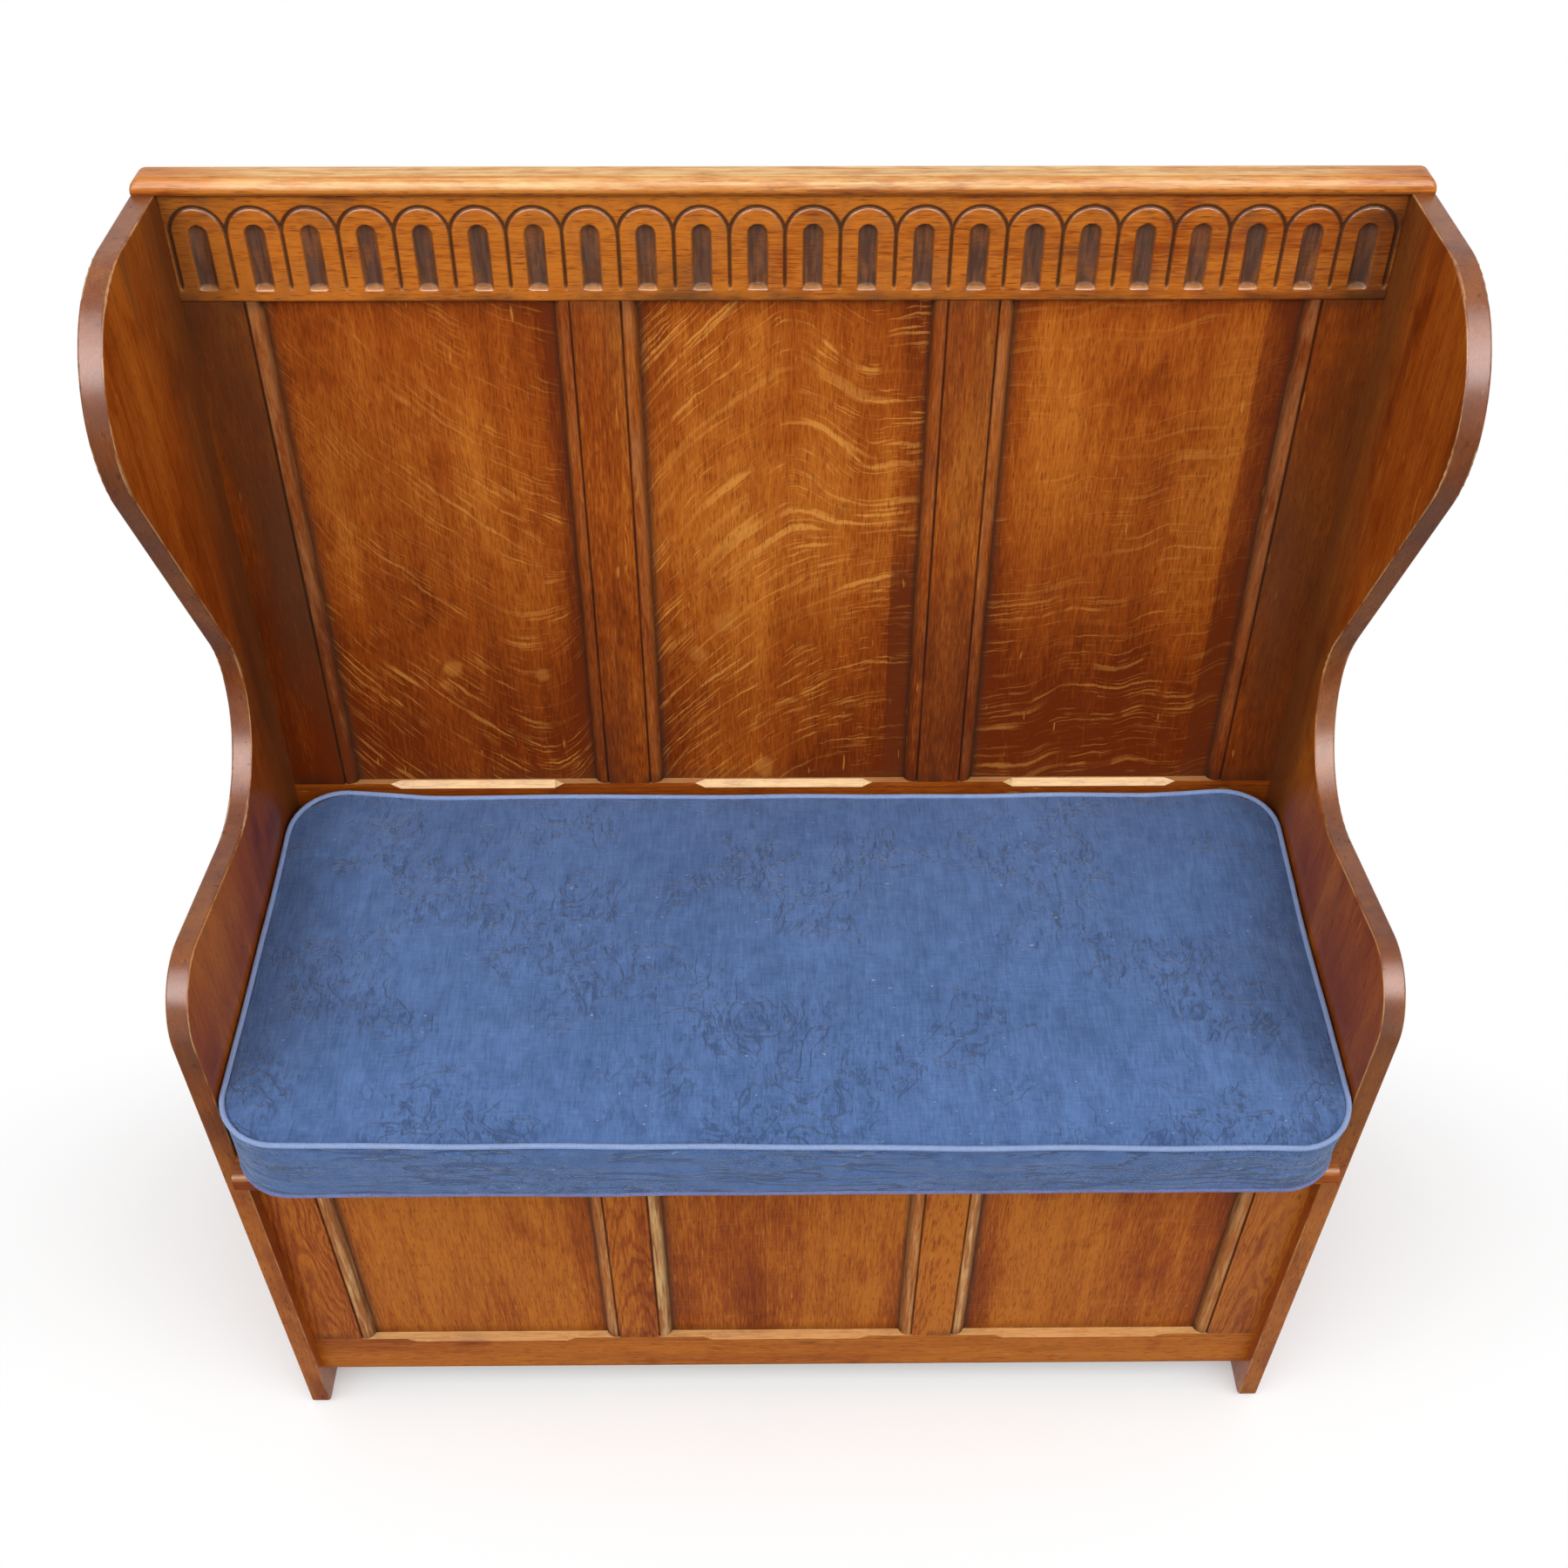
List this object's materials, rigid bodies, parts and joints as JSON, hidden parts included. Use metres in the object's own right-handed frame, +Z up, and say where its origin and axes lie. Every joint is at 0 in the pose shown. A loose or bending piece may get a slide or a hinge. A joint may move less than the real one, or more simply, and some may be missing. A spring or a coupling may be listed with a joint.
{
  "type": "settle bench",
  "caption": "Oak box settle with shaped winged sides, a panelled back under an arcaded frieze, a panelled box with a hinged seat lid, and a loose piped box cushion.",
  "frame": {"origin": "on the floor, at the centre of the bounding box's base", "axes": "+X along the seat, to the right as seen from in front, +Y from the front of the seat to the back, +Z up"},
  "size_m": [1.02, 0.476, 1.182],
  "materials": {
    "oak_side": "waxed oak with a satin varnish, red-brown, worn paler on the front edges",
    "oak_frame": "waxed oak, orange-brown with darker figure",
    "oak_panel": "waxed quarter-sawn oak with pale wavy flecks",
    "oak_capping": "waxed oak, worn bright along its nose",
    "oak_inside": "unpolished oak, dry and paler",
    "cushion_cloth": "blue ribbed velvet",
    "piping_cloth": "lighter blue velvet over cord",
    "hinge_brass": "dull aged brass",
    "screw_steel": "dull steel"
  },
  "bodies": {
    "carcase": {"left_side": "oak_side", "right_side": "oak_side", "frieze_rail": "oak_frame", "back_left_stile": "oak_frame", "back_right_stile": "oak_frame", "back_left_muntin": "oak_frame", "back_right_muntin": "oak_frame", "back_bottom_rail": "oak_frame", "fixed_seat_strip": "oak_frame", "front_left_stile": "oak_frame", "front_right_stile": "oak_frame", "front_left_muntin": "oak_frame", "front_right_muntin": "oak_frame", "front_top_rail": "oak_frame", "front_bottom_rail": "oak_frame", "top_cap": "oak_capping", "back_left_panel": "oak_panel", "back_centre_panel": "oak_panel", "back_right_panel": "oak_panel", "front_left_panel": "oak_panel", "front_centre_panel": "oak_panel", "front_right_panel": "oak_panel", "lower_back_board": "oak_inside", "box_floor": "oak_inside", "left_floor_bearer": "oak_inside", "right_floor_bearer": "oak_inside", "left_seat_bearer": "oak_inside", "right_seat_bearer": "oak_inside", "hinge_fixed_leaves": "hinge_brass", "hinge_pins": "hinge_brass", "fixed_leaf_screws": "hinge_brass", "bearer_screws": "screw_steel"},
    "lid": {"seat_lid": "oak_frame", "lid_left_batten": "oak_inside", "lid_right_batten": "oak_inside", "batten_screws": "screw_steel", "hinge_lid_leaves": "hinge_brass", "lid_leaf_screws": "hinge_brass"},
    "cushion": {"seat_cushion": "cushion_cloth", "cushion_top_piping": "piping_cloth", "cushion_bottom_piping": "piping_cloth"}
  },
  "joints": [
    {"name": "lid_hinge", "type": "hinge", "parent": "carcase", "child": "lid", "pos_m": [0, 0.122, 0.468], "axis": [-1, 0, 0], "range_deg": [0, 100]},
    {"name": "cushion_lift", "type": "slide", "parent": "carcase", "child": "cushion", "axis": [0, 0, 1], "range_m": [0, 0.63]}
  ],
  "couplings": [
    {"joint": "cushion_lift", "follows": "lid_hinge", "m_per_rad": 0.36}
  ]
}
